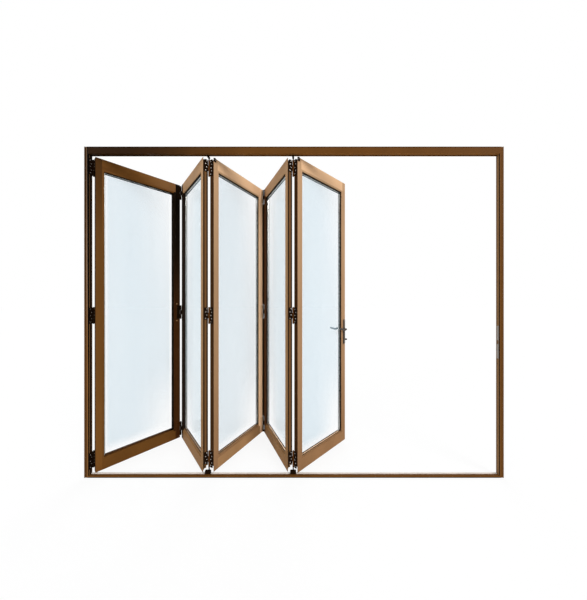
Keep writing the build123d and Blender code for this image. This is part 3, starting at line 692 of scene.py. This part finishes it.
def add_hinge(plates, knuckles, screws, centre, first, second, out_first, out_second, on_face):
    """One whole hinge from its two leaves' (axis, direction) pairs."""
    low = centre - HINGE_HEIGHT / 2
    high = centre + HINGE_HEIGHT / 2
    axis = first[0]
    add_hinge_plate(plates, screws, axis, first[1], out_first, low, high, on_face, 0 if on_face else 5)
    short = high - SHORT_PLATE_HEIGHT
    add_hinge_plate(plates, screws, axis, second[1], out_second, short, high, False, 4)
    knuckle = (HINGE_HEIGHT - 2 * KNUCKLE_GAP) / 3
    for row in range(3):
        start = low + row * (knuckle + KNUCKLE_GAP)
        matrix = Matrix.Translation(axis)
        profile = capped_cylinder(KNUCKLE_RADIUS, start, start + knuckle, KNUCKLE_RIM)
        add_lathe(knuckles, profile, matrix)
        direction, out = (second[1], out_second) if row == 1 else (first[1], out_first)
        sideways = Vector(UP).cross(direction)
        web_frame = basis(axis, direction, sideways)
        side = sideways.dot(-out)
        if on_face and row != 1:
            reach = HINGE_OFFSET * side
            inner = (HINGE_OFFSET - FACE_PLATE_THICKNESS) * side
            near = KNUCKLE_RADIUS + KNUCKLE_GAP
            corners = [(0, inner), (near, inner), (near, reach), (0, reach)]
        else:
            near = LEAF_GAP / 2 - PLATE_THICKNESS
            corners = [(near, 0), (LEAF_GAP / 2, 0), (LEAF_GAP / 2, HINGE_OFFSET * side),
                       (near, HINGE_OFFSET * side)]
        add_prism(knuckles, corners, start, start + knuckle, web_frame)
    for base, sign in ((low - SEAT_GAP, -1), (high + SEAT_GAP, 1)):
        dome = [(0, 0), (PIN_HEAD_RADIUS, 0), (PIN_HEAD_RADIUS, PIN_HEAD_HEIGHT * 0.4),
                (PIN_HEAD_RADIUS * 0.8, PIN_HEAD_HEIGHT * 0.8), (PIN_HEAD_RADIUS * 0.4, PIN_HEAD_HEIGHT),
                (0, PIN_HEAD_HEIGHT)]
        profile = [(radius, base + sign * height) for radius, height in dome]
        add_lathe(knuckles, profile, Matrix.Translation(axis), 20)


def dress_hinges(node, first, second, out_first, out_second, paint=hinge_paint, on_face=False):
    """Rounded plates, knuckles and screws for one axis, in place of the CAD node."""
    plates, knuckles, screws = bmesh.new(), bmesh.new(), bmesh.new()
    for centre in HINGE_CENTRES:
        add_hinge(plates, knuckles, screws, centre, first, second, out_first, out_second, on_face)
    body = finish_piece(f"{node}_detailed", plates, paint, "frame_and_leaves", SMALL_RIM)
    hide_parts(node)
    knuckle_finish = knuckle_paint if node in ("hinges_2_3", "hinges_4_5") else hinge_paint
    finish_piece(f"{node}_knuckles", knuckles, knuckle_finish, "frame_and_leaves", 0.0004)
    finish = bright_steel if node != "jamb_hinges" else steel
    finish_piece(f"{node}_screws", screws, finish, "frame_and_leaves")


def inner_axis(number):
    """Hinge axis at a leaf's far end, in front of its room face."""
    axis, direction, room = leaf_frame(number)
    return axis + direction * PITCH + room * PIVOT_DEPTH


frames = {number: leaf_frame(number) for number in FOLD_ANGLES}
jamb_axis = frames[1][0]
dress_hinges("jamb_hinges", (jamb_axis, Vector(LEFT)), (jamb_axis, frames[1][1]),
             Vector(AWAY), -frames[1][2])
for left, right in ((2, 3), (4, 5)):
    axis = frames[left][0]
    dress_hinges(f"hinges_{left}_{right}", (axis, frames[right][1]), (axis, frames[left][1]),
                 -frames[right][2], -frames[left][2])
for left, right, paint in ((1, 2, flush_paint), (3, 4, light_hinge_paint)):
    axis = inner_axis(left)
    dress_hinges(f"hinges_{left}_{right}", (axis, -frames[left][1]), (axis, -frames[right][1]),
                 frames[left][2], frames[right][2], paint, on_face=True)


# Round caps on leaf 1 above and below its middle hinge
def dress_caps():
    axis, direction, room = frames[1]
    rims, heads = bmesh.new(), bmesh.new()
    face = axis + direction * (PITCH - CAP_INSET) + room * (HINGE_OFFSET + LEAF_THICKNESS)
    head = [
        (0, 0.0008), (CAP_HEAD_RADIUS, 0.0008), (CAP_HEAD_RADIUS, 0.0024), (0.0052, 0.0032),
        (0.0024, 0.0038), (0, 0.0039),
    ]
    for offset in (-CAP_OFFSET, CAP_OFFSET):
        place = facing(face, room, HINGE_CENTRES[1] + offset)
        add_lathe(rims, capped_cylinder(CAP_RIM_RADIUS, -0.0005, 0.0016, 0.0006), place)
        add_lathe(heads, head, place)
    finish_piece("hinge_cap_rims", rims, hinge_paint, "frame_and_leaves")
    finish_piece("hinge_cap_heads", heads, cap_paint, "frame_and_leaves")


dress_caps()


# Roller carriers and bottom guides
def add_arm(build, pivot_x, low, high):
    """Flat arm from the hinge's axis to the track."""
    length = PIVOT_Y - TRACK_Y + ARM_WIDTH
    outline = rounded_rectangle(ARM_WIDTH, length, ARM_CORNER)
    add_prism(build, outline, low, high, level(pivot_x, (TRACK_Y + PIVOT_Y) / 2))


WHEEL_PROFILE = [
    (0, -0.001), (AXLE_RADIUS, -0.001), (AXLE_RADIUS, 0), (WHEEL_RADIUS - SMALL_RIM, 0),
    (WHEEL_RADIUS, SMALL_RIM), (WHEEL_RADIUS, WHEEL_WIDTH - SMALL_RIM),
    (WHEEL_RADIUS - SMALL_RIM, WHEEL_WIDTH), (0.0055, WHEEL_WIDTH), (0.0050, 0.0030), (0.0030, 0.0030),
    (AXLE_RADIUS, WHEEL_WIDTH), (0, WHEEL_WIDTH),
]


def dress_carriers():
    """Posts on the far hinge axes, arms to the track, and trolleys with two pairs of wheels."""
    build = bmesh.new()
    arm_high = CARRIER_ARM_LOW + CARRIER_ARM_THICKNESS
    pin_top = HINGE_CENTRES[2] + HINGE_HEIGHT / 2 + SEAT_GAP + PIN_HEAD_HEIGHT
    for pivot_x in (SECOND_PIVOT, THIRD_PIVOT):
        at_pivot = level(pivot_x, PIVOT_Y)
        in_track = level(pivot_x, TRACK_Y)
        add_arm(build, pivot_x, CARRIER_ARM_LOW, arm_high)
        post = capped_cylinder(POST_RADIUS, pin_top + SEAT_GAP, CARRIER_ARM_LOW + POST_SUNK, SMALL_RIM)
        add_lathe(build, post, at_pivot)
        bush = capped_cylinder(BUSH_RADIUS, CARRIER_ARM_LOW - 0.0030, CARRIER_ARM_LOW, SMALL_RIM)
        add_lathe(build, bush, at_pivot)
        bolt = capped_cylinder(POST_RADIUS, arm_high - POST_SUNK, WHEEL_CENTRE, SMALL_RIM)
        add_lathe(build, bolt, in_track)
        hexagon = [on_circle(BUSH_RADIUS, corner, 6) for corner in range(6)]
        add_prism(build, hexagon, CARRIER_ARM_LOW - 0.0025, CARRIER_ARM_LOW, in_track)
        trolley = rounded_rectangle(TROLLEY_LENGTH, TROLLEY_WIDTH, 0.003)
        add_prism(build, trolley, WHEEL_CENTRE - TROLLEY_BELOW, WHEEL_CENTRE + TROLLEY_ABOVE, in_track)
        for wheel_x in (pivot_x - WHEEL_SPACING / 2, pivot_x + WHEEL_SPACING / 2):
            for side in (-1, 1):
                hub = (wheel_x, TRACK_Y + side * (TROLLEY_WIDTH / 2 + 0.001), WHEEL_CENTRE)
                add_lathe(build, WHEEL_PROFILE, basis(hub, RIGHT, (0, 0, -side)))
    body = finish_piece("roller_carriers_detailed", build, hinge_paint, "frame_and_leaves",
                        SMALL_RIM)
    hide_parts("roller_carriers")


def dress_guides():
    """Posts under the far hinge axes, arms, and blocks that run in the sill's slot."""
    build = bmesh.new()
    pin_bottom = HINGE_CENTRES[0] - HINGE_HEIGHT / 2 - SEAT_GAP - PIN_HEAD_HEIGHT
    body_top = GUIDE_ARM_LOW + GUIDE_BODY_HEIGHT
    for pivot_x in (SECOND_PIVOT, THIRD_PIVOT):
        at_pivot = level(pivot_x, PIVOT_Y)
        in_track = level(pivot_x, TRACK_Y)
        arm_high = GUIDE_ARM_LOW + GUIDE_ARM_THICKNESS
        add_arm(build, pivot_x, GUIDE_ARM_LOW, arm_high)
        post = capped_cylinder(POST_RADIUS, GUIDE_ARM_LOW, pin_bottom - SEAT_GAP, SMALL_RIM)
        add_lathe(build, post, at_pivot)
        bush = capped_cylinder(BUSH_RADIUS, arm_high, arm_high + 0.007, SMALL_RIM)
        add_lathe(build, bush, at_pivot)
        base = rounded_rectangle(GUIDE_BODY_LENGTH, GUIDE_BODY_WIDTH, 0.0035)
        add_prism(build, base, GUIDE_ARM_LOW, body_top - GUIDE_STEP, in_track)
        cap = rounded_rectangle(GUIDE_BODY_LENGTH - 0.006, GUIDE_BODY_WIDTH - 0.004, 0.0030)
        add_prism(build, cap, body_top - GUIDE_STEP, body_top, in_track)
        block = rounded_rectangle(GUIDE_BLOCK_LENGTH, GUIDE_BLOCK_WIDTH, 0.0020)
        add_prism(build, block, GUIDE_LOW, GUIDE_ARM_LOW, in_track)
        for side in (-1, 1):
            front = (pivot_x + side * 0.014, TRACK_Y - GUIDE_BODY_WIDTH / 2, 0.027)
            add_screw(build, basis(front, RIGHT, UP))
    body = finish_piece("bottom_guides_detailed", build, hinge_paint, "frame_and_leaves",
                        SMALL_RIM)
    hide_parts("bottom_guides")


dress_carriers()
dress_guides()


# Handle set: levers with bent grips, turn knob, and the screws of the lock's plates
def add_sweep(build, path, segments=16):
    """A tube of rounded oblong section along a path of (point, half height, half thickness)."""
    rings = []
    for index, (point, half_height, half_thickness) in enumerate(path):
        before = path[max(index - 1, 0)][0]
        after = path[min(index + 1, len(path) - 1)][0]
        forward = (after - before).normalized()
        side = forward.cross(Vector(UP)).normalized()
        rise = side.cross(forward)
        ring = []
        for step in range(segments):
            across, height = on_circle(1, step, segments)
            swell = 1 / (abs(across) ** 3 + abs(height) ** 3) ** (1 / 3)
            offset = side * across * half_thickness * swell + rise * height * half_height * swell
            ring.append(build.verts.new(point + offset))
        rings.append(ring)
    for low, high in zip(rings, rings[1:]):
        for step in range(segments):
            following = (step + 1) % segments
            build.faces.new((low[step], low[following], high[following], high[step]))
    build.faces.new(rings[0])
    build.faces.new(rings[-1])


def between(p, q, r, s, share):
    """Value on the smooth curve through p, q, r and s, at a share of the way from q to r."""
    slope = r - p
    bend = 2 * p - 5 * q + 4 * r - s
    twist = 3 * q - p - 3 * r + s
    return 0.5 * (2 * q + slope * share + bend * share ** 2 + twist * share ** 3)


def curve_through(points, steps=6):
    """Points of a smooth curve through given ones, each with two widths that blend as well."""
    rows = [(*point, high, thick) for point, high, thick in points]
    rows = [rows[0], *rows, rows[-1]]
    out = []
    for a, b, c, d in zip(rows, rows[1:], rows[2:], rows[3:]):
        for step in range(steps):
            out.append([between(p, q, r, s, step / steps) for p, q, r, s in zip(a, b, c, d)])
    out.append(list(rows[-1]))
    return out


handle_axis, handle_along, handle_room = frames[5]
HANDLE_REACH = PITCH - LEAF_GAP / 2 - STILE_FACE / 2
weather_bore = handle_axis + handle_along * HANDLE_REACH + handle_room * HINGE_OFFSET
room_bore = weather_bore + handle_room * LEAF_THICKNESS


def dress_lever(node, bore, out):
    """Round neck off the backplate that bends into a tapered grip towards the hinges."""
    shape = [
        ((0, 0, LEVER_START), 0.0088, 0.0088),
        ((0, 0, LEVER_START + 0.004), 0.0074, 0.0074),
        ((0, 0, 0.0235), 0.0072, 0.0072),
        ((-0.0035, 0, 0.0310), 0.0080, 0.0058),
        ((-0.013, -0.0010, GRIP_MIDDLE), 0.0085, 0.0049),
        ((-0.035, -0.0030, GRIP_MIDDLE), 0.0085, 0.0047),
        ((-0.066, 0.0048, GRIP_MIDDLE), 0.0080, 0.0046),
        ((-0.098, 0.0135, GRIP_MIDDLE), 0.0072, 0.0044),
        ((-0.1035, 0.0150, GRIP_MIDDLE), 0.0060, 0.0036),
        ((-0.1050, 0.0154, GRIP_MIDDLE), 0.0030, 0.0018),
    ]
    path = []
    for along_leaf, up, away, high, thick in curve_through(shape):
        point = bore + handle_along * along_leaf + Vector((0, 0, LEVER_HEIGHT + up)) + out * away
        path.append((point, high, thick))
    build = bmesh.new()
    add_sweep(build, path)
    piece = finish_piece(f"{node}_detailed", build, handle_finish, "lever")
    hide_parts(node)


def dress_knob():
    """Short shaft, a knob with fine ribs, and a raised mark that shows its turn."""
    place = facing(room_bore, handle_room, LEVER_HEIGHT - CYLINDER_DROP)
    build = bmesh.new()
    add_lathe(build, capped_cylinder(0.0043, KNOB_START, KNOB_START + 0.007, 0.0004), place)
    ribs = []
    for step in range(2 * KNOB_RIBS):
        radius = KNOB_RIB_RADIUS if step % 2 else KNOB_GROOVE_RADIUS
        ribs.append(on_circle(radius, step, 2 * KNOB_RIBS))
    add_prism(build, ribs, KNOB_START + 0.0060, KNOB_START + 0.0200, place)
    face = [
        (0, 0.0195), (0.0066, 0.0195), (0.0066, 0.0200), (0.0058, 0.0212), (0.0030, 0.0214), (0, 0.0206),
    ]
    add_lathe(build, [(radius, KNOB_START + height) for radius, height in face], place)
    mark = [(x, y + 0.0035) for x, y in rounded_rectangle(0.0012, 0.0042, 0.0005, steps=2)]
    add_prism(build, mark, KNOB_START + 0.0208, KNOB_START + 0.0215, place)
    piece = finish_piece("turn_knob_detailed", build, handle_finish, "lock_knob")
    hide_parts("turn_knob")


def dress_plate_screws():
    """Screws of the backplates, the lock's faceplate and strike, and the corner lugs."""
    build = bmesh.new()
    for bore, out in ((room_bore, handle_room), (weather_bore, -handle_room)):
        for height in (LEVER_HEIGHT + 0.073, LEVER_HEIGHT - 0.121):
            add_screw(build, facing(bore + out * BACKPLATE_THICKNESS, out, height))
    closing = handle_axis + handle_along * (LEAF_GAP / 2 + LEAF_WIDTH + FACEPLATE_THICKNESS)
    closing = closing + handle_room * (HINGE_OFFSET + LEAF_THICKNESS / 2)
    strike = Vector((STRIKE_FACE, 0, 0))
    for origin, out in ((closing, handle_along), (strike, Vector(LEFT))):
        for offset in (-0.110, 0.110):
            add_screw(build, facing(origin, out, FACEPLATE_MIDDLE + offset))
    for number in (3, 5):
        axis, direction, room = frames[number]
        corner = axis + direction * (LEAF_GAP / 2 + 0.010) + room * (HINGE_OFFSET + LEAF_THICKNESS + 0.005)
        add_screw(build, facing(corner, room, LEAF_TOP - 0.014))
    finish_piece("plate_screws", build, steel, "frame_and_leaves")


dress_lever("room_lever", room_bore, handle_room)
dress_lever("outer_lever", weather_bore, -handle_room)
dress_knob()
dress_plate_screws()


# Floor, lights and white surroundings
def seen_rays(tree):
    """1 for camera, mirror and see-through rays, and 0 for the rays that light surfaces."""
    path = add_node(tree, "ShaderNodeLightPath").outputs
    both = add_node(tree, "ShaderNodeMath", {0: path["Is Camera Ray"], 1: path["Is Glossy Ray"]},
                    operation="ADD", use_clamp=True).outputs[0]
    return add_node(tree, "ShaderNodeMath", {0: both, 1: path["Is Transmission Ray"]},
                    operation="ADD", use_clamp=True).outputs[0]


FLOOR_GLOW = 0.873
FLOOR_HALF = 30.0
corners = [(-FLOOR_HALF, -FLOOR_HALF, 0), (FLOOR_HALF, -FLOOR_HALF, 0), (FLOOR_HALF, FLOOR_HALF, 0),
           (-FLOOR_HALF, FLOOR_HALF, 0)]
floor_mesh = bpy.data.meshes.new("floor")
floor_mesh.from_pydata(corners, [], [(0, 1, 2, 3)])
floor = bpy.data.objects.new("floor", floor_mesh)
floor.location.z = -0.0005
scene.collection.objects.link(floor)
floor_material, floor_tree, floor_shader = new_material("pale_floor")
floor_place = add_node(floor_tree, "ShaderNodeTexCoord").outputs["Object"]
floor_grain = noise(floor_tree, floor_place, 3.0, 3.0)
floor_colour = blend_colour(floor_tree, floor_grain, (0.80, 0.80, 0.80, 1), (0.84, 0.84, 0.84, 1))
floor_tree.links.new(floor_colour, floor_shader.inputs["Base Color"])
floor_shader.inputs["Roughness"].default_value = 0.8
floor_shader.inputs["Specular IOR Level"].default_value = 0.0
pale = add_node(floor_tree, "ShaderNodeBsdfDiffuse", {"Color": (0.15, 0.15, 0.15, 1)})
glow = add_node(floor_tree, "ShaderNodeEmission", {"Color": (1, 1, 1, 1), "Strength": FLOOR_GLOW})
seen = add_node(floor_tree, "ShaderNodeAddShader", {0: glow.outputs[0], 1: pale.outputs[0]})
mixed = add_node(floor_tree, "ShaderNodeMixShader",
                 {0: seen_rays(floor_tree), 1: floor_shader.outputs[0], 2: seen.outputs[0]})
floor_tree.links.new(mixed.outputs[0], floor_tree.nodes["Material Output"].inputs["Surface"])
floor_mesh.materials.append(floor_material)

AMBIENT = 0.42
world = bpy.data.worlds.new("surroundings")
world.use_nodes = True
scene.world = world
world_tree = world.node_tree
background = world_tree.nodes["Background"]
background.inputs["Color"].default_value = (1, 1, 1, 1)
background.inputs["Strength"].default_value = AMBIENT
bright = add_node(world_tree, "ShaderNodeBackground", {"Color": (1, 1, 1, 1), "Strength": 1.0})
mixed = add_node(world_tree, "ShaderNodeMixShader",
                 {0: seen_rays(world_tree), 1: background.outputs[0], 2: bright.outputs[0]})
world_tree.links.new(mixed.outputs[0], world_tree.nodes["World Output"].inputs["Surface"])


def add_sun(name, place, target, strength, softness):
    """A far-off lamp, which lights near and far leaves alike."""
    data = bpy.data.lights.new(name, "SUN")
    data.energy = strength
    data.angle = math.radians(softness)
    lamp = bpy.data.objects.new(name, data)
    lamp.location = place
    aim = Vector(target) - Vector(place)
    lamp.rotation_euler = aim.to_track_quat("-Z", "Y").to_euler()
    scene.collection.objects.link(lamp)


add_sun("key", (2.2, -3.0, 3.4), (-0.4, 0.2, 1.4), 1.8, 30)
add_sun("fill", (-3.2, -2.6, 2.6), (-0.4, 0.3, 1.2), 0.8, 40)
add_sun("back", (0.6, 4.0, 3.2), (0.0, 0.0, 1.0), 0.75, 40)
